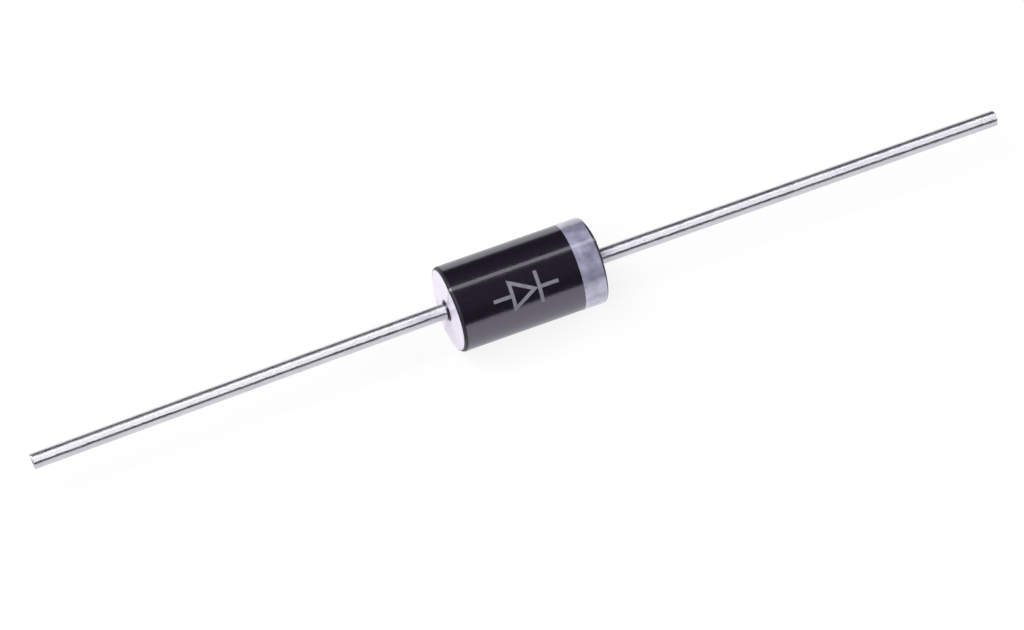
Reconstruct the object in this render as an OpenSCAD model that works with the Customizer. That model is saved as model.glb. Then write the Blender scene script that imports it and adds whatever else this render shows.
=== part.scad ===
// Axial rectifier diode with a moulded body, of the 3 A class, lying on its side.
// The leads run along X and the cathode points to +X. +Z is up.
// The origin is the middle of the body, on the axis of the leads.

/* [Moulded body] */
// Diameter of the moulded body
body_d = 5.3; // [4.8:0.1:5.6]
// Length of the moulded body, measured along the parting line
body_l = 9.4; // [8.4:0.1:10.4]
// Radius of the rounded edge round each end face
body_edge_r = 0.2; // [0.1:0.05:0.3]
// Draft of the end faces, which lean away from the parting line, in degrees
end_draft = 2; // [1:0.5:3]
// Width of the seam where the two halves of the mould met
seam_w = 0.2; // [0.1:0.02:0.3]
// Height of the seam above the body
seam_h = 0.01; // [0.005:0.001:0.02]
// Width of the collar of resin that creeps out round each lead
collar_w = 0.16; // [0.08:0.02:0.3]
// Height of that collar above the end face
collar_h = 0.14; // [0.08:0.02:0.3]

/* [Cathode band] */
// Width of the printed band
band_w = 1.4; // [1:0.1:2.4]
// Distance from the cathode end of the body to the band
band_inset = 0.2; // [0.2:0.05:0.8]
// Thickness of the ink
band_t = 0.015; // [0.01:0.005:0.03]

/* [Leads] */
// Diameter of the tinned copper wire
lead_d = 0.96; // [0.7:0.02:1.2]
// Free length of each lead, from the end face to the cut end
lead_l = 26.3; // [20:0.1:32]
// Angle of the sheared end of each lead, off square, in degrees
shear_angle = 8; // [2:1:15]
// Size of the edge that the cutter rolls over at the cut end
tip_roll = 0.1; // [0.04:0.02:0.16]
// Diameter of the nail head that is soldered to the chip
head_d = 2.3; // [2.1:0.1:2.6]
// Thickness of the rim of the nail head
head_t = 0.5; // [0.4:0.05:0.7]
// Length of the cone behind the nail head
head_cone_l = 0.55; // [0.3:0.05:0.8]
// Diameter of the swaged ring that anchors each lead in the moulding
anchor_d = 1.5; // [1.3:0.05:1.9]
// Width of the swaged ring at its rim
anchor_w = 0.3; // [0.2:0.05:0.5]
// Plain wire between the cone and the swaged ring
anchor_gap = 0.6; // [0.3:0.05:1]

/* [Junction] */
// Side of the square silicon chip
chip_w = 2; // [1.9:0.05:2.2]
// Thickness of the silicon chip
chip_t = 0.28; // [0.2:0.02:0.36]
// Width of the step that the mesa etch leaves round the anode face of the chip
mesa_step = 0.1; // [0.06:0.02:0.12]
// Depth of the mesa etch
mesa_depth = 0.08; // [0.04:0.01:0.12]
// Diameter of the solder on each face of the chip
solder_d = 1.6; // [1.4:0.05:1.65]
// Thickness of the solder on each face of the chip
solder_t = 0.06; // [0.04:0.01:0.1]
// Diameter of the silicone bead that coats the junction
coat_d = 3.5; // [3.4:0.05:3.8]
// How far the bead laps over the rim of each nail head
coat_lap = 0.3; // [0.15:0.05:0.35]

/* [Hidden] */
$fn = 96;
mould_black = "#262329";
band_silver = "#b4b3c4";
tin = "#c9c8d2";
silicon = "#5b6270";
solder_grey = "#8e9096";
silicone_white = "#e6e2d8";
ANODE = -1;
CATHODE = 1;
body_r = body_d / 2;
lead_r = lead_d / 2;
head_r = head_d / 2;
anchor_r = anchor_d / 2;
head_face = chip_t / 2 + solder_t;
coat_half = head_face + coat_lap;
anchor_slope = anchor_r - lead_r;
anchor_start = head_t + head_cone_l + anchor_gap;
collar_root = collar_w;
buried_l = body_l / 2 - head_face;
wire_l = buried_l + lead_l;
band_end = body_l / 2 - band_inset;
clear_of_all = body_d;
// The body rests on its round side with a corner of the seam touching the same surface
seam_corner_r = norm([body_r + seam_h, seam_w / 2]);
seam_lean = acos(body_r / seam_corner_r) + atan2(seam_w / 2, body_r + seam_h);

// A rectangle centred on the origin, with round corners
module round_rectangle(length, width, corner) {
    square([length - 2 * corner, width], center = true);
    square([length, width - 2 * corner], center = true);
    for (x = [-1, 1], y = [-1, 1])
        translate([x * (length / 2 - corner), y * (width / 2 - corner)]) circle(corner);
}

// Turns a solid made upright about Z so that it points along +X or -X
module point_along(way) {
    rotate([0, way * 90, 0]) children();
}

// The round of the body with its rounded edges, before the ends are drafted
module body_round(grow) {
    point_along(CATHODE) rotate_extrude() intersection() {
        round_rectangle(body_d + 2 * grow, body_l + 2 * grow, body_edge_r + grow);
        translate([0, -body_l]) square([body_d, 2 * body_l]);
    }
}

// The outline of both mould halves seen along the parting plane: the ends lean off the parting line
module draft_outline(grow) {
    side = body_r + clear_of_all;
    ridge = body_l / 2 + grow;
    shoulder = ridge - side * tan(end_draft);
    polygon([[-ridge, 0], [-shoulder, -side], [shoulder, -side],
             [ridge, 0], [shoulder, side], [-shoulder, side]]);
}

// The seam along both sides and across both ends, in the XZ plane
module seam(grow) {
    height = seam_h + grow;
    rotate([90, 0, 0]) linear_extrude(seam_w + 2 * grow, center = true)
        round_rectangle(body_l + 2 * height, body_d + 2 * height, body_edge_r + height);
}

// The outside of the moulding, leaning on its seam; grow makes the same form a skin larger
module body_form(grow = 0) {
    rotate([seam_lean, 0, 0]) {
        intersection() {
            body_round(grow);
            linear_extrude(body_d + clear_of_all, center = true) draft_outline(grow);
        }
        seam(grow);
    }
}

// The collar of resin round a lead where it leaves the body
module resin_collar(way) {
    point_along(way) translate([0, 0, body_l / 2]) rotate_extrude()
        polygon([[0, -collar_root], [lead_r + collar_w, -collar_root],
                 [lead_r + collar_w, 0], [lead_r + collar_w / 4, collar_h], [0, collar_h]]);
}

// One lead: nail head, cone, plain wire, swaged ring that tapers out to the end face of the body,
// and the free wire with its sheared end
module lead(way) {
    point_along(way) translate([0, 0, head_face]) difference() {
        rotate_extrude() polygon([
            [0, 0],
            [head_r, 0],
            [head_r, head_t],
            [lead_r, head_t + head_cone_l],
            [lead_r, anchor_start],
            [anchor_r, anchor_start + anchor_slope],
            [anchor_r, anchor_start + anchor_slope + anchor_w],
            [lead_r, buried_l],
            [lead_r, wire_l - tip_roll],
            [lead_r - tip_roll, wire_l],
            [0, wire_l]
        ]);
        translate([0, 0, wire_l - lead_r * tan(shear_angle)]) rotate([0, way * shear_angle, 0])
            translate([0, 0, lead_d / 2]) cube([2 * lead_d, 2 * lead_d, lead_d], center = true);
    }
}

// The silicone bead with nothing taken out of it: a ball cut flat on both sides
module bead_form() {
    intersection() {
        sphere(d = coat_d);
        cube([2 * coat_half, coat_d, coat_d], center = true);
    }
}

module solder(way) {
    point_along(way) translate([0, 0, chip_t / 2]) cylinder(d = solder_d, h = solder_t);
}

module moulded_body() {
    color(mould_black) difference() {
        union() {
            body_form();
            resin_collar(ANODE);
            resin_collar(CATHODE);
        }
        bead_form();
        lead(ANODE);
        lead(CATHODE);
    }
}

module cathode_band() {
    color(band_silver) difference() {
        intersection() {
            body_form(band_t);
            translate([band_end - band_w, -body_d, -body_d]) cube([band_w, 2 * body_d, 2 * body_d]);
        }
        body_form();
    }
}

module anode_lead() {
    color(tin) lead(ANODE);
}

module cathode_lead() {
    color(tin) lead(CATHODE);
}

module silicon_chip() {
    mesa_w = chip_w - 2 * mesa_step;
    base_t = chip_t - mesa_depth;
    color(silicon) {
        translate([chip_t / 2 - base_t, -chip_w / 2, -chip_w / 2]) cube([base_t, chip_w, chip_w]);
        translate([-chip_t / 2, -mesa_w / 2, -mesa_w / 2]) cube([mesa_depth, mesa_w, mesa_w]);
    }
}

module anode_solder() {
    color(solder_grey) solder(ANODE);
}

module cathode_solder() {
    color(solder_grey) solder(CATHODE);
}

module junction_coating() {
    color(silicone_white) difference() {
        bead_form();
        silicon_chip();
        solder(ANODE);
        solder(CATHODE);
        lead(ANODE);
        lead(CATHODE);
    }
}

moulded_body();
cathode_band();
anode_lead();
cathode_lead();
silicon_chip();
anode_solder();
cathode_solder();
junction_coating();
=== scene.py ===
import math

import bmesh
import bpy
from mathutils import Matrix, Vector


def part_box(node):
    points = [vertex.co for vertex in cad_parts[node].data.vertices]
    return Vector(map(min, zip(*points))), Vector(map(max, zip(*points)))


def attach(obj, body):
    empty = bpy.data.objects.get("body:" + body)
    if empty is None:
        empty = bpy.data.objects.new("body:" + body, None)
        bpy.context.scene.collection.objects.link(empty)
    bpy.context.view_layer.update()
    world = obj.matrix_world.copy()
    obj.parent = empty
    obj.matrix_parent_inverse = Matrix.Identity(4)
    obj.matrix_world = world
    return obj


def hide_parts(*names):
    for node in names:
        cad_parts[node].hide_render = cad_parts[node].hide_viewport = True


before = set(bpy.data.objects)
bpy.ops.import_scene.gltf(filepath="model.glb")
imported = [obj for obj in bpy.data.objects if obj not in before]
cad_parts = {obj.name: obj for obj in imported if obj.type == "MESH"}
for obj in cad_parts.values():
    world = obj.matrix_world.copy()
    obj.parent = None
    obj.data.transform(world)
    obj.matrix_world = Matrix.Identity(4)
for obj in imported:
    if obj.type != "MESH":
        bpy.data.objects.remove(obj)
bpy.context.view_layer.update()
bpy.ops.object.select_all(action="DESELECT")  # the CAD nodes come in selected

# everything is modelled in millimetres and scaled to metres when it is finished
mm = 0.001
slack = 0.01  # for picking points by their place
smoothAngle = math.radians(35)  # edges that turn more than this stay sharp
bodyLow, bodyHigh = (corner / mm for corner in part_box("moulded_body"))
bandLow, bandHigh = (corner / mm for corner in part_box("cathode_band"))
leadLow, leadHigh = (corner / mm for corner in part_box("cathode_lead"))
tableHeight = min(bodyLow.z, bandLow.z)  # the band's ink is the lowest point
print("frame loaded: body", round(bodyHigh.z - bodyLow.z, 2), "mm across")


# object mode helpers

def choose(piece):
    bpy.ops.object.select_all(action="DESELECT")
    piece.select_set(True)
    bpy.context.view_layer.objects.active = piece


def applyPlace():
    bpy.ops.object.transform_apply(location=True, rotation=True, scale=True)


def newPiece(name):
    piece = bpy.context.object
    piece.name = piece.data.name = name
    applyPlace()
    return piece


def copyPiece(piece, name):
    twin = piece.copy()
    twin.data = piece.data.copy()
    twin.name = twin.data.name = name
    bpy.context.collection.objects.link(twin)
    return twin


def modify(piece, kind, settings):
    choose(piece)
    modifier = piece.modifiers.new(kind.lower(), kind)
    for key, value in settings.items():
        setattr(modifier, key, value)
    bpy.ops.object.modifier_apply(modifier=modifier.name)


def finishPiece(piece):
    choose(piece)
    piece.scale = (mm, mm, mm)
    applyPlace()
    bpy.ops.object.shade_smooth_by_angle(angle=smoothAngle)
    modify(piece, "WEIGHTED_NORMAL", {"keep_sharp": True})
    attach(piece, "root")


# edit mode helpers: faces, edges and points are selected by their place

def beginEdit(piece):
    choose(piece)
    bpy.ops.object.mode_set(mode="EDIT")


def endEdit():
    bpy.ops.object.mode_set(mode="OBJECT")


def pick(kind, test):
    bpy.ops.mesh.select_mode(type=kind)
    bpy.ops.mesh.select_all(action="DESELECT")
    mesh = bmesh.from_edit_mesh(bpy.context.object.data)
    if kind == "EDGE":
        for edge in mesh.edges:
            edge.select_set(test(edge.verts[0].co, edge.verts[1].co))
    elif kind == "FACE":
        for face in mesh.faces:
            face.select_set(test(face.calc_center_median()))
    else:
        for vert in mesh.verts:
            vert.select_set(test(vert.co))
    mesh.select_flush_mode()
    bmesh.update_edit_mesh(bpy.context.object.data)


def cutAt(place, normal, fill=False, clearOuter=False, clearInner=False):
    bpy.ops.mesh.select_all(action="SELECT")
    bpy.ops.mesh.bisect(plane_co=place, plane_no=normal, use_fill=fill,
                        clear_outer=clearOuter, clear_inner=clearInner)


def faceOutwards():
    bpy.ops.mesh.select_all(action="SELECT")
    bpy.ops.mesh.normals_make_consistent(inside=False)


def turnedPiece(name, facets, rings):
    # a disc drawn out along X through rings, each a place and a radius; left in edit mode
    place, radius = rings[0]
    bpy.ops.mesh.primitive_circle_add(vertices=facets, radius=radius, fill_type="NGON",
                                      location=(place, 0, 0), rotation=(0, math.pi / 2, 0))
    piece = newPiece(name)
    beginEdit(piece)
    bpy.ops.mesh.select_all(action="SELECT")
    for nextPlace, nextRadius in rings[1:]:
        step, share = nextPlace - place, nextRadius / radius
        bpy.ops.mesh.extrude_region_move(TRANSFORM_OT_translate={"value": (step, 0, 0)})
        bpy.ops.transform.resize(value=(1, share, share), center_override=(nextPlace, 0, 0))
        place, radius = nextPlace, nextRadius
    return piece


def mirrorPiece(piece):
    choose(piece)
    piece.scale.x = -1
    applyPlace()
    beginEdit(piece)
    faceOutwards()
    endEdit()


# the moulded body: a cylinder whose end faces lean away from the parting plane,
# with rounded end edges and the seam of the two mould halves standing proud all round

body = {
    "radius": bodyHigh.z,
    "length": 9.4,               # along the parting plane, without the collars
    "facets": 160,
    "edgeRadius": 0.2,
    "edgeSegments": 8,
    "draft": math.radians(2),
    "seamWidth": 0.2,
    "seamHeight": 0.01,
}
bodyEnd = body["length"] / 2
edgeStart = bodyEnd - body["edgeRadius"] - slack
recess = body["radius"] * math.tan(body["draft"])  # how far the ends lean back at the sides
halfSeam = body["seamWidth"] / 2
seamTop = body["radius"] + body["seamHeight"]
# the part lies with one corner of the lower seam on the table
seamLean = (math.acos(body["radius"] / math.hypot(seamTop, halfSeam))
            + math.atan2(halfSeam, seamTop))

bpy.ops.mesh.primitive_cylinder_add(vertices=body["facets"], radius=body["radius"],
                                    depth=body["length"], rotation=(0, math.pi / 2, 0))
mouldedBody = newPiece("mouldedBody")
beginEdit(mouldedBody)
pick("EDGE", lambda a, b: abs(a.x - b.x) < slack)  # the rims of both ends
bpy.ops.mesh.bevel(offset=body["edgeRadius"], segments=body["edgeSegments"], profile=0.5,
                   affect="EDGES", clamp_overlap=False)
cutAt((0, 0, 0), (0, 1, 0))
endEdit()
for vert in mouldedBody.data.vertices:  # both halves draw the end faces back from the parting line
    if abs(vert.co.x) > edgeStart:
        vert.co.x -= math.copysign(abs(vert.co.y) * math.tan(body["draft"]), vert.co.x)
beginEdit(mouldedBody)
for side in (1, -1):
    cutAt((0, side * halfSeam, 0), (0, 1, 0))
    # a cut near each end keeps the long faces flat in shading
    cutAt((side * (edgeStart - 2 * recess), 0, 0), (1, 0, 0))
pick("FACE", lambda centre: abs(centre.y) < halfSeam)
bpy.ops.mesh.extrude_region_shrink_fatten(
    TRANSFORM_OT_shrink_fatten={"value": body["seamHeight"]})
for side in (1, -1):  # the seam is flat on top
    pick("VERT", lambda place: abs(place.y) < halfSeam + slack / 10
         and abs(place.x) < edgeStart + 2 * slack
         and side * place.z > seamTop - body["seamHeight"] / 2)
    bpy.ops.transform.resize(value=(1, 1, 0), center_override=(0, 0, side * seamTop))
endEdit()
print("moulded body", len(mouldedBody.data.polygons), "faces")


# the printed band: a skin of ink on a slice of the body

band = {
    "start": bandLow.x,
    "end": bandHigh.x,
    "ink": 0.015,                # thickness of the printed silver ink
}
cathodeBand = copyPiece(mouldedBody, "cathodeBand")
beginEdit(cathodeBand)
cutAt((band["start"], 0, 0), (1, 0, 0), clearInner=True)
cutAt((band["end"], 0, 0), (1, 0, 0), clearOuter=True)
endEdit()
modify(cathodeBand, "SOLIDIFY", {"thickness": band["ink"], "offset": 1, "use_even_offset": True})
beginEdit(cathodeBand)
for rim in (band["start"], band["end"]):  # square edges to the ink
    pick("VERT", lambda place: abs(place.x - rim) < 2 * slack)
    bpy.ops.transform.resize(value=(0, 1, 1), center_override=(rim, 0, 0))
endEdit()
print("printed band", len(cathodeBand.data.polygons), "faces")


# the leads: nail head, cone, plain wire, anchoring ring that tapers to the end face, free wire

lead = {
    "facets": 64,
    "radius": 0.48,
    "headFace": leadLow.x,
    "headRadius": leadHigh.z,
    # place along the lead and radius, from the nail head's rim to where the wire comes out
    "rings": [(0.7, 1.15), (1.25, 0.48), (1.85, 0.48), (2.12, 0.75), (2.42, 0.75), (4.7, 0.48)],
    "tip": 31.0,
    "tipRoll": 0.1,              # the edge that the cutter rolls over
    "shear": math.radians(8),    # how far the cut is off square
    "free": 5.0,                 # where the wire is clear of the collar
    "sections": 24,              # of the free wire, so that it can bend
    "sectionLength": 1.0625,
    "lean": 0.35,                # how far handling has bent the anode lead at its tip
    "bend": 1.2,                 # above 1 the bend grows towards the tip
}
cathodeLead = turnedPiece("cathodeLead", lead["facets"], [
    (lead["headFace"], lead["headRadius"]), *lead["rings"],
    (lead["tip"] - lead["tipRoll"], lead["radius"]),
    (lead["tip"], lead["radius"] - lead["tipRoll"])])
cutAt((lead["tip"] - lead["radius"] * math.tan(lead["shear"]), 0, 0),
      (math.cos(lead["shear"]), 0, -math.sin(lead["shear"])), fill=True, clearOuter=True)
for number in range(lead["sections"]):
    cutAt((lead["free"] + number * lead["sectionLength"], 0, 0), (1, 0, 0))
faceOutwards()
endEdit()

anodeLead = copyPiece(cathodeLead, "anodeLead")
mirrorPiece(anodeLead)
for vert in anodeLead.data.vertices:  # bent a little to the front
    share = max(0, -vert.co.x - lead["free"]) / (lead["tip"] - lead["free"])
    vert.co.y -= lead["lean"] * share ** lead["bend"]
print("leads", len(cathodeLead.data.polygons), "faces each")


# the collars: resin that creeps out round each lead, joined to the body

collar = {
    "facets": 64,
    # distance out from the end face and radius: the flank is hollow, as the wet resin left it
    "profile": [(-0.1, 0.66), (0.0, 0.66), (0.012, 0.605), (0.04, 0.56), (0.085, 0.53),
                (bodyHigh.x - bodyEnd, 0.515)],
    "weld": 0.001,               # points that the joining leaves closer than this are merged
}
for onAnode in (False, True):
    resinCollar = turnedPiece("resinCollar", collar["facets"],
                              [(bodyEnd + out, radius) for out, radius in collar["profile"]])
    faceOutwards()
    endEdit()
    if onAnode:
        mirrorPiece(resinCollar)
    modify(mouldedBody, "BOOLEAN",
           {"operation": "UNION", "object": resinCollar, "solver": "EXACT"})
    bpy.data.objects.remove(resinCollar)
beginEdit(mouldedBody)
bpy.ops.mesh.select_all(action="SELECT")
bpy.ops.mesh.remove_doubles(threshold=collar["weld"])
endEdit()
print("collars joined,", len(mouldedBody.data.polygons), "faces")

for piece in (mouldedBody, cathodeBand):
    choose(piece)
    piece.rotation_euler.x = seamLean
    applyPlace()
for piece, node, slot in ((mouldedBody, "moulded_body", "mould_compound"),
                          (cathodeBand, "cathode_band", "band_ink"),
                          (anodeLead, "anode_lead", "tinned_wire"),
                          (cathodeLead, "cathode_lead", "tinned_wire")):
    finishPiece(piece)
    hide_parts(node)


# the polarity mark: a triangle against a bar, printed where the body faces up and forwards

mark = {
    "middle": -0.75,             # along the body
    "facing": 48,                # degrees above the front, round the body
    "size": 1.15,                # from the middle of the triangle to its corners
    "stroke": 0.22,              # width of its lines
    "bite": 0.1,                 # share of the bar's thickness that covers the triangle's tip
    "bar": 2.0,                  # length
    "tails": 1.1,                # length of the line on either side
    "ink": 0.008,
    "lift": 0.002,               # holds the ink clear of the body's facets
    "step": 0.1,                 # the ink is cut this finely before it is wrapped round the body
}
bpy.ops.mesh.primitive_circle_add(vertices=3, radius=mark["size"], fill_type="NGON",
                                  rotation=(0, 0, -math.pi / 2))
polarityMark = newPiece("polarityMark")
beginEdit(polarityMark)
bpy.ops.mesh.select_mode(type="FACE")
bpy.ops.mesh.select_all(action="SELECT")
bpy.ops.mesh.inset(thickness=mark["stroke"])
bpy.ops.mesh.delete(type="FACE")
endEdit()
triangleTip = max(vert.co.x for vert in polarityMark.data.vertices)
triangleBack = min(vert.co.x for vert in polarityMark.data.vertices)
inkLayer = {"thickness": mark["ink"], "offset": 1}
modify(polarityMark, "SOLIDIFY", inkLayer)
barStart = triangleTip - mark["bite"] * mark["stroke"]
barEnd = triangleTip + (1 - mark["bite"]) * mark["stroke"]
strokes = [  # start and end along the body, width; each tail starts in the middle of a line
    (barStart, barEnd, mark["bar"]),
    (triangleTip + mark["stroke"] / 2, barEnd + mark["tails"], mark["stroke"]),
    (triangleBack - mark["tails"], triangleBack + mark["stroke"] / 2, mark["stroke"]),
]
for start, end, width in strokes:
    bpy.ops.mesh.primitive_plane_add(size=1, location=((start + end) / 2, 0, 0))
    bpy.context.object.scale = (end - start, width, 1)
    stroke = newPiece("stroke")
    modify(stroke, "SOLIDIFY", inkLayer)
    modify(polarityMark, "BOOLEAN", {"operation": "UNION", "object": stroke, "solver": "EXACT"})
    bpy.data.objects.remove(stroke)
cuts = int(mark["bar"] / 2 / mark["step"])
beginEdit(polarityMark)
for number in range(-cuts, cuts + 1):
    cutAt((0, number * mark["step"], 0), (0, 1, 0))
endEdit()
for vert in polarityMark.data.vertices:  # wrapped round the body
    along, across, height = vert.co
    turn = math.radians(mark["facing"]) + across / body["radius"]
    out = body["radius"] + mark["lift"] + height
    vert.co = (mark["middle"] + along, -out * math.cos(turn), out * math.sin(turn))
finishPiece(polarityMark)
print("polarity mark", len(polarityMark.data.polygons), "faces")


# materials

def toLinear(hexColour):
    shares = [int(hexColour[i:i + 2], 16) / 255 for i in (1, 3, 5)]
    return [s / 12.92 if s <= 0.04045 else ((s + 0.055) / 1.055) ** 2.4 for s in shares] + [1.0]


def addNode(tree, kind, settings, links=()):
    node = tree.nodes.new(kind)
    for key, value in settings.items():
        if isinstance(key, str) and hasattr(node, key):
            setattr(node, key, value)
        else:
            node.inputs[key].default_value = value
    for socket, source in links:
        tree.links.new(source, node.inputs[socket])
    return node


def newMaterial(name):
    material = bpy.data.materials.new(name)
    material.use_nodes = True
    tree = material.node_tree
    coords = addNode(tree, "ShaderNodeTexCoord", {})
    return material, tree, tree.nodes["Principled BSDF"], coords.outputs["Object"]


# the colour sockets of a mix node go by number, because their names are not unique
mixDark, mixLight, mixResult = 6, 7, 2

# transfer-moulded epoxy: glossy from the polished cavity, faintly uneven from the silica filler
epoxy = {
    "dark": "#0c0b0e", "light": "#151318",
    "mottle": 0.25,
    "grain": 0.12, "relief": 0.004,  # coarser than the filler, so that the gloss ripples in view
    "gloss": (0.14, 0.2),
    "ior": 2.2,                  # above plain epoxy: the skin mirrors the table strongly
    "tint": "#ede6ff",
}
mouldedEpoxy, tree, shader, coords = newMaterial("transferMouldedEpoxy")
mottle = addNode(tree, "ShaderNodeTexNoise", {"Scale": 1 / (epoxy["mottle"] * mm), "Detail": 3},
                 [("Vector", coords)])
tint = addNode(tree, "ShaderNodeMix", {"data_type": "RGBA", mixDark: toLinear(epoxy["dark"]),
                                       mixLight: toLinear(epoxy["light"])},
               [("Factor", mottle.outputs["Fac"])])
tree.links.new(tint.outputs[mixResult], shader.inputs["Base Color"])
gloss = addNode(tree, "ShaderNodeMapRange", {"From Min": 0.3, "From Max": 0.7,
                                             "To Min": epoxy["gloss"][0],
                                             "To Max": epoxy["gloss"][1]},
                [("Value", mottle.outputs["Fac"])])
tree.links.new(gloss.outputs["Result"], shader.inputs["Roughness"])
grain = addNode(tree, "ShaderNodeTexNoise", {"Scale": 1 / (epoxy["grain"] * mm), "Detail": 2},
                [("Vector", coords)])
bump = addNode(tree, "ShaderNodeBump", {"Strength": 1, "Distance": epoxy["relief"] * mm},
               [("Height", grain.outputs["Fac"])])
tree.links.new(bump.outputs["Normal"], shader.inputs["Normal"])
shader.inputs["IOR"].default_value = epoxy["ior"]
shader.inputs["Specular Tint"].default_value = toLinear(epoxy["tint"])

# the seam where the flash was broken away: rougher than the polished sides, and paler partly from
# the broken resin and partly as a painted highlight along the seam
seam = {"dark": "#2a292e", "paleWithPaintedHighlight": "#4a4850", "chips": 0.12, "relief": 0.006, "roughness": 0.35}
seamEpoxyPaintedHighlight, tree, shader, coords = newMaterial("deflashedSeamPaintedHighlight")
chips = addNode(tree, "ShaderNodeTexNoise", {"Scale": 1 / (seam["chips"] * mm), "Detail": 4},
                [("Vector", coords)])
# the seam's paler colours are partly a painted highlight: a light line drawn along the body
tint = addNode(tree, "ShaderNodeMix", {"data_type": "RGBA", mixDark: toLinear(seam["dark"]),
                                       mixLight: toLinear(seam["paleWithPaintedHighlight"])},
               [("Factor", chips.outputs["Fac"])])
tree.links.new(tint.outputs[mixResult], shader.inputs["Base Color"])
bump = addNode(tree, "ShaderNodeBump", {"Strength": 0.3, "Distance": seam["relief"] * mm},
               [("Height", chips.outputs["Fac"])])
tree.links.new(bump.outputs["Normal"], shader.inputs["Normal"])
shader.inputs["Roughness"].default_value = seam["roughness"]
shader.inputs["IOR"].default_value = epoxy["ior"]

# end faces from spark-eroded inserts: matt straight on, pale where the light grazes them
endFace = {
    "dark": "#1d1b21", "light": "#2b2930",
    "pits": 0.07, "relief": 0.004,
    "roughness": 0.3,
    "bloom": "#f4ebff", "bloomWidth": 0.58,
    "skinIor": 1.8, "skinRoughness": 0.12,  # the resin-rich skin over the filler
}
endEpoxy, tree, shader, coords = newMaterial("sparkErodedEpoxy")
pits = addNode(tree, "ShaderNodeTexNoise", {"Scale": 1 / (endFace["pits"] * mm), "Detail": 3},
               [("Vector", coords)])
tint = addNode(tree, "ShaderNodeMix", {"data_type": "RGBA", mixDark: toLinear(endFace["dark"]),
                                       mixLight: toLinear(endFace["light"])},
               [("Factor", pits.outputs["Fac"])])
tree.links.new(tint.outputs[mixResult], shader.inputs["Base Color"])
bump = addNode(tree, "ShaderNodeBump", {"Strength": 0.2, "Distance": endFace["relief"] * mm},
               [("Height", pits.outputs["Fac"])])
tree.links.new(bump.outputs["Normal"], shader.inputs["Normal"])
shader.inputs["Roughness"].default_value = endFace["roughness"]
shader.inputs["Sheen Weight"].default_value = 1
shader.inputs["Sheen Roughness"].default_value = endFace["bloomWidth"]
shader.inputs["Sheen Tint"].default_value = toLinear(endFace["bloom"])
shader.inputs["Coat Weight"].default_value = 1
shader.inputs["Coat IOR"].default_value = endFace["skinIor"]
shader.inputs["Coat Roughness"].default_value = endFace["skinRoughness"]

# the rounded edges, where the mould is worn: dull
edge = {
    "dark": "#0a080c", "light": "#141118",
    "grit": 0.08,
    "roughness": (0.38, 0.5),
    "turned": (0.08, 0.98),      # how far along X its faces point, from the sides to the end face
}
edgeEpoxy, tree, shader, coords = newMaterial("wornMouldEdgeEpoxy")
grit = addNode(tree, "ShaderNodeTexNoise", {"Scale": 1 / (edge["grit"] * mm), "Detail": 3},
               [("Vector", coords)])
tint = addNode(tree, "ShaderNodeMix", {"data_type": "RGBA", mixDark: toLinear(edge["dark"]),
                                       mixLight: toLinear(edge["light"])},
               [("Factor", grit.outputs["Fac"])])
tree.links.new(tint.outputs[mixResult], shader.inputs["Base Color"])
dullness = addNode(tree, "ShaderNodeMapRange", {"To Min": edge["roughness"][0],
                                                "To Max": edge["roughness"][1]},
                   [("Value", grit.outputs["Fac"])])
tree.links.new(dullness.outputs["Result"], shader.inputs["Roughness"])
shader.inputs["Specular Tint"].default_value = toLinear(epoxy["tint"])

# silver ink laid on by a roller: aluminium flakes in lacquer, satin, uneven in thickness
ink = {
    "thin": "#7d7c95", "thick": "#cbcae3",
    "flow": 0.9,
    "flake": 0.06, "relief": 0.004,  # coarser than the real flakes, so that they show
    "gloss": (0.38, 0.5),
    "metal": 0.6,                # share of the surface that is flakes
    "lacquerIor": 1.9, "lacquerRoughness": 0.18,
}
silverInk, tree, shader, coords = newMaterial("rolledSilverInk")
flow = addNode(tree, "ShaderNodeTexNoise", {"Scale": 1 / (ink["flow"] * mm), "Detail": 3},
               [("Vector", coords)])
cover = addNode(tree, "ShaderNodeMapRange", {"From Min": 0.25, "From Max": 0.75},
                [("Value", flow.outputs["Fac"])])
tint = addNode(tree, "ShaderNodeMix", {"data_type": "RGBA", mixDark: toLinear(ink["thin"]),
                                       mixLight: toLinear(ink["thick"])},
               [("Factor", cover.outputs["Result"])])
tree.links.new(tint.outputs[mixResult], shader.inputs["Base Color"])
gloss = addNode(tree, "ShaderNodeMapRange", {"To Min": ink["gloss"][0], "To Max": ink["gloss"][1]},
                [("Value", flow.outputs["Fac"])])
tree.links.new(gloss.outputs["Result"], shader.inputs["Roughness"])
flakes = addNode(tree, "ShaderNodeTexVoronoi", {"Scale": 1 / (ink["flake"] * mm)},
                 [("Vector", coords)])
bump = addNode(tree, "ShaderNodeBump", {"Strength": 0.12, "Distance": ink["relief"] * mm},
               [("Height", flakes.outputs["Distance"])])
tree.links.new(bump.outputs["Normal"], shader.inputs["Normal"])
shader.inputs["Metallic"].default_value = ink["metal"]
shader.inputs["Coat Weight"].default_value = 1
shader.inputs["Coat IOR"].default_value = ink["lacquerIor"]
shader.inputs["Coat Roughness"].default_value = ink["lacquerRoughness"]

# pale grey marking ink, thin enough for the black to dull it
marking = {"thin": "#5f5d66", "thick": "#8a8892", "patch": 0.3, "roughness": 0.45}
greyInk, tree, shader, coords = newMaterial("printedMarkingInk")
patches = addNode(tree, "ShaderNodeTexNoise", {"Scale": 1 / (marking["patch"] * mm), "Detail": 4},
                  [("Vector", coords)])
tint = addNode(tree, "ShaderNodeMix", {"data_type": "RGBA", mixDark: toLinear(marking["thin"]),
                                       mixLight: toLinear(marking["thick"])},
               [("Factor", patches.outputs["Fac"])])
tree.links.new(tint.outputs[mixResult], shader.inputs["Base Color"])
shader.inputs["Roughness"].default_value = marking["roughness"]

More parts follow.
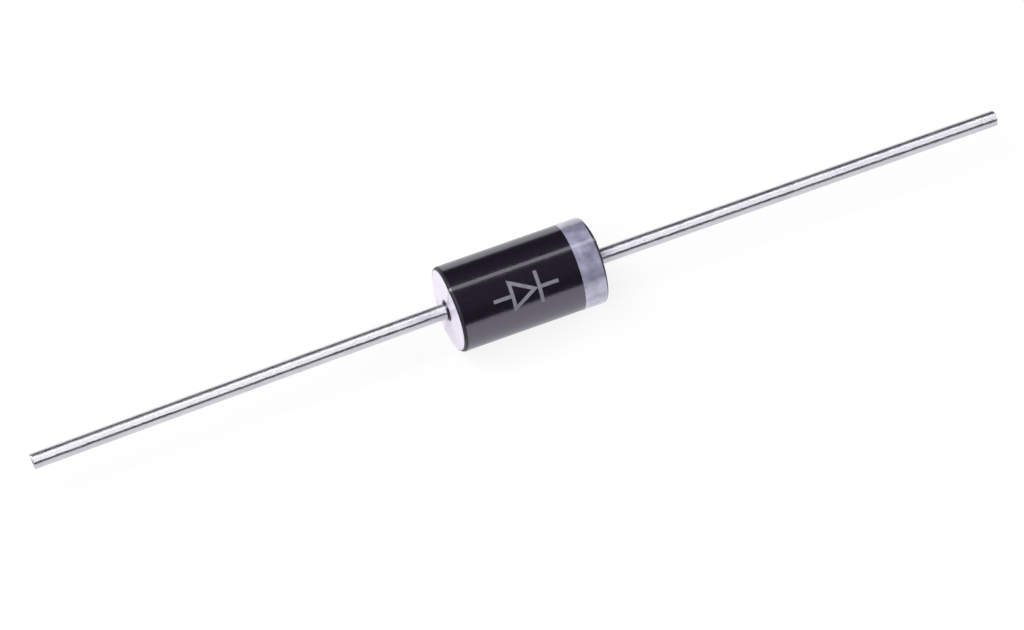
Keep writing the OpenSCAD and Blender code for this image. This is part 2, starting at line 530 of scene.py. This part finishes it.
# tin-plated copper wire, drawn through a die: satin, with fine lines along its length
wire = {
    "dull": "#cccbd3", "tin": "#e4e3e8",
    "line": 0.05, "stretch": 0.012, "lineDepth": 0.004,
    "cloud": 1.5, "gloss": (0.34, 0.42),
    "ripple": 0.35, "rippleDepth": 0.02,  # the die's chatter, in waves that show
    "grainTurn": 0.25,           # a quarter turn, from round the wire to along it
}
tinnedWire, tree, shader, coords = newMaterial("drawnTinnedCopper")
along = addNode(tree, "ShaderNodeMapping", {"Scale": (wire["stretch"], 1, 1)},
                [("Vector", coords)])
lines = addNode(tree, "ShaderNodeTexNoise", {"Scale": 1 / (wire["line"] * mm), "Detail": 3},
                [("Vector", along.outputs["Vector"])])
tint = addNode(tree, "ShaderNodeMix", {"data_type": "RGBA", mixDark: toLinear(wire["dull"]),
                                       mixLight: toLinear(wire["tin"])},
               [("Factor", lines.outputs["Fac"])])
tree.links.new(tint.outputs[mixResult], shader.inputs["Base Color"])
clouds = addNode(tree, "ShaderNodeTexNoise", {"Scale": 1 / (wire["cloud"] * mm), "Detail": 2},
                 [("Vector", coords)])
gloss = addNode(tree, "ShaderNodeMapRange", {"From Min": 0.3, "From Max": 0.7,
                                             "To Min": wire["gloss"][0],
                                             "To Max": wire["gloss"][1]},
                [("Value", clouds.outputs["Fac"])])
tree.links.new(gloss.outputs["Result"], shader.inputs["Roughness"])
ripples = addNode(tree, "ShaderNodeTexNoise", {"Scale": 1 / (wire["ripple"] * mm), "Detail": 2},
                  [("Vector", coords)])
waves = addNode(tree, "ShaderNodeBump", {"Strength": 1, "Distance": wire["rippleDepth"] * mm},
                [("Height", ripples.outputs["Fac"])])
bump = addNode(tree, "ShaderNodeBump", {"Strength": 0.2, "Distance": wire["lineDepth"] * mm},
               [("Height", lines.outputs["Fac"]), ("Normal", waves.outputs["Normal"])])
tree.links.new(bump.outputs["Normal"], shader.inputs["Normal"])
tangent = addNode(tree, "ShaderNodeTangent", {"direction_type": "RADIAL", "axis": "X"})
tree.links.new(tangent.outputs["Tangent"], shader.inputs["Tangent"])
shader.inputs["Metallic"].default_value = 1
shader.inputs["Anisotropic"].default_value = 1
shader.inputs["Anisotropic Rotation"].default_value = wire["grainTurn"]

# the sheared end: bare copper with tin smeared over it by the cutter
cut = {
    "copper": "#b07a5c", "tin": "#b9b6ba",
    "smear": 0.12,
    "score": 0.04, "scoreLength": 0.15, "scoreDepth": 0.01,
    "roughness": 0.38,
}
shearedCopper, tree, shader, coords = newMaterial("shearedCopper")
smear = addNode(tree, "ShaderNodeTexNoise", {"Scale": 1 / (cut["smear"] * mm), "Detail": 3},
                [("Vector", coords)])
tint = addNode(tree, "ShaderNodeMix", {"data_type": "RGBA", mixDark: toLinear(cut["copper"]),
                                       mixLight: toLinear(cut["tin"])},
               [("Factor", smear.outputs["Fac"])])
tree.links.new(tint.outputs[mixResult], shader.inputs["Base Color"])
cutterWay = addNode(tree, "ShaderNodeMapping", {"Scale": (1, 1, cut["scoreLength"])},
                    [("Vector", coords)])
scores = addNode(tree, "ShaderNodeTexNoise", {"Scale": 1 / (cut["score"] * mm), "Detail": 2},
                 [("Vector", cutterWay.outputs["Vector"])])
bump = addNode(tree, "ShaderNodeBump", {"Strength": 0.6, "Distance": cut["scoreDepth"] * mm},
               [("Height", scores.outputs["Fac"])])
tree.links.new(bump.outputs["Normal"], shader.inputs["Normal"])
shader.inputs["Metallic"].default_value = 1
shader.inputs["Roughness"].default_value = cut["roughness"]

# inside the moulding: lapped silicon, solder that froze from the melt, cured silicone rubber
inner = {
    "lappedSilicon": {"nodes": ["silicon_chip"], "dark": "#565c6b", "light": "#6a7080",
                      "cloud": 0.2, "metal": 0.85, "roughness": 0.22},
    "meltedSolder": {"nodes": ["anode_solder", "cathode_solder"], "dark": "#7f8187",
                     "light": "#a3a5aa", "cloud": 0.15, "metal": 1.0, "roughness": 0.35},
    "curedSilicone": {"nodes": ["junction_coating"], "dark": "#dcd8cd", "light": "#efece4",
                      "cloud": 0.4, "metal": 0.0, "roughness": 0.5},
}
for name, finish in inner.items():
    material, tree, shader, coords = newMaterial(name)
    cloud = addNode(tree, "ShaderNodeTexNoise", {"Scale": 1 / (finish["cloud"] * mm), "Detail": 3},
                    [("Vector", coords)])
    tint = addNode(tree, "ShaderNodeMix", {"data_type": "RGBA", mixDark: toLinear(finish["dark"]),
                                           mixLight: toLinear(finish["light"])},
                   [("Factor", cloud.outputs["Fac"])])
    tree.links.new(tint.outputs[mixResult], shader.inputs["Base Color"])
    shader.inputs["Metallic"].default_value = finish["metal"]
    shader.inputs["Roughness"].default_value = finish["roughness"]
    for node in finish["nodes"]:
        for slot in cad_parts[node].material_slots:
            slot.material = material

bodyFinishes = [mouldedEpoxy, seamEpoxyPaintedHighlight, endEpoxy, edgeEpoxy]
for material in bodyFinishes:
    mouldedBody.data.materials.append(material)
partingNormal = Vector((0, math.cos(seamLean), math.sin(seamLean)))
for face in mouldedBody.data.polygons:
    centre, turned = face.center / mm, abs(face.normal.x)
    if turned > edge["turned"][1] and abs(centre.x) > bodyEnd - body["edgeRadius"]:
        finish = endEpoxy
    elif abs(centre.dot(partingNormal)) < halfSeam + slack / 2:
        finish = seamEpoxyPaintedHighlight
    elif turned > edge["turned"][0]:
        finish = edgeEpoxy
    else:
        finish = mouldedEpoxy
    face.material_index = bodyFinishes.index(finish)
cathodeBand.data.materials.append(silverInk)
polarityMark.data.materials.append(greyInk)
for piece in (anodeLead, cathodeLead):
    piece.data.materials.append(tinnedWire)
    piece.data.materials.append(shearedCopper)
    for face in piece.data.polygons:  # the cut face at the tip is bare
        atTip = abs(face.center.x) > (leadHigh.x - lead["tipRoll"]) * mm
        face.material_index = 1 if atTip and abs(face.normal.x) > 0.9 else 0
print("materials assigned")


# floor, light and camera

studio = {
    "floor": 4.0,
    "wall": 0.13,                # the paper turns up at its far edges, for a level view
    "paper": 0.88,               # share of the light that it sends back
    "glow": (0.85, 1.0),         # share of its white that doesn't depend on the lamps, near and far
    "near": 0.1, "far": 0.4,
    "dark": "#393442", "roof": "#4c4756",
    "fadeFrom": 0.5, "fadeTo": 0.8,  # heights between which the dark room passes into its roof
}
bpy.ops.mesh.primitive_plane_add(size=studio["floor"], location=(0, 0, tableHeight * mm))
floor = bpy.context.object
floor.name = "floor"
beginEdit(floor)
bpy.ops.mesh.select_mode(type="EDGE")
bpy.ops.mesh.select_all(action="SELECT")
bpy.ops.mesh.extrude_edges_move(TRANSFORM_OT_translate={"value": (0, 0, studio["wall"])})
endEdit()
paper, tree, shader, coords = newMaterial("whitePaper")
tree.nodes.remove(shader)
lightPath = addNode(tree, "ShaderNodeLightPath", {})
seen = addNode(tree, "ShaderNodeMath", {"operation": "MAXIMUM"},
               [(0, lightPath.outputs["Is Camera Ray"]), (1, lightPath.outputs["Is Glossy Ray"])])
seen = addNode(tree, "ShaderNodeMath", {"operation": "MAXIMUM"},
               [(0, seen.outputs[0]), (1, lightPath.outputs["Is Transmission Ray"])])
reach = addNode(tree, "ShaderNodeVectorMath", {"operation": "LENGTH"}, [(0, coords)])
glowShare = addNode(tree, "ShaderNodeMapRange",
                    {"From Min": studio["near"], "From Max": studio["far"],
                     "To Min": studio["glow"][0], "To Max": studio["glow"][1]},
                    [("Value", reach.outputs["Value"])])
share = addNode(tree, "ShaderNodeMath", {"operation": "MULTIPLY"},
                [(0, seen.outputs[0]), (1, glowShare.outputs["Result"])])
diffuse = addNode(tree, "ShaderNodeBsdfDiffuse", {"Color": [studio["paper"]] * 3 + [1]})
glow = addNode(tree, "ShaderNodeEmission", {"Strength": 1})
mixed = addNode(tree, "ShaderNodeMixShader", {},
                [(0, share.outputs[0]), (1, diffuse.outputs[0]), (2, glow.outputs[0])])
tree.links.new(mixed.outputs[0], tree.nodes["Material Output"].inputs["Surface"])
floor.data.materials.append(paper)

world = bpy.data.worlds.new("studio")
bpy.context.scene.world = world
world.use_nodes = True
tree = world.node_tree
direction = addNode(tree, "ShaderNodeTexCoord", {})
height = addNode(tree, "ShaderNodeSeparateXYZ", {}, [(0, direction.outputs["Generated"])])
room = addNode(tree, "ShaderNodeValToRGB", {}, [(0, height.outputs["Z"])])
lower, upper = room.color_ramp.elements
lower.position, lower.color = studio["fadeFrom"], toLinear(studio["dark"])
upper.position, upper.color = studio["fadeTo"], toLinear(studio["roof"])
background = tree.nodes["Background"]
tree.links.new(room.outputs["Color"], background.inputs["Color"])
background.inputs["Strength"].default_value = 1

lamps = {  # direction from the part, distance, size along X and across, brightness as a surface
    "stripOverhead": ((0.20, 0.27, 0.94), 0.45, 0.30, 0.05, 2.2),
    "softAbove": ((-0.46, -0.20, 0.86), 0.50, 0.26, 0.80, 4.8),
    "softBehind": ((-0.62, 0.50, 0.57), 0.50, 0.38, 0.30, 2.2),
    "softRight": ((0.78, -0.10, 0.60), 0.60, 0.25, 0.70, 3.0),
}
for name, (way, distance, length, width, brightness) in lamps.items():
    light = bpy.data.lights.new(name, "AREA")
    light.shape = "RECTANGLE"
    light.size, light.size_y = length, width
    light.energy = brightness * math.pi * length * width
    lamp = bpy.data.objects.new(name, light)
    bpy.context.collection.objects.link(lamp)
    away = Vector(way).normalized()
    sideways = (Vector((1, 0, 0)) - away * away.x).normalized()
    turned = Matrix((sideways, away.cross(sideways), away)).transposed()
    lamp.matrix_world = Matrix.Translation(away * distance) @ turned.to_4x4()
    lamp.visible_camera = False

view = {
    "azimuth": math.radians(-22.9),
    "elevation": math.radians(56.6),
    "distance": 0.40,
    "lens": 238,
    "aside": -0.476, "below": -1.79,  # what it aims at, across and up from the middle of the body
}
azimuth, elevation = view["azimuth"], view["elevation"]
back = Vector((math.sin(azimuth) * math.cos(elevation), -math.cos(azimuth) * math.cos(elevation),
               math.sin(elevation)))
right = Vector((math.cos(azimuth), math.sin(azimuth), 0))
up = back.cross(right)
cameraData = bpy.data.cameras.new("camera")
cameraData.lens = view["lens"]
cameraData.sensor_width = 36
cameraData.clip_start = 0.01
camera = bpy.data.objects.new("camera", cameraData)
bpy.context.collection.objects.link(camera)
aim = (right * view["aside"] + up * view["below"]) * mm
turned = Matrix((right, up, back)).transposed().to_4x4()
camera.matrix_world = Matrix.Translation(aim + back * view["distance"]) @ turned
bpy.context.scene.camera = camera
bpy.context.scene.view_settings.view_transform = "Standard"
print("floor, lamps and camera in place")
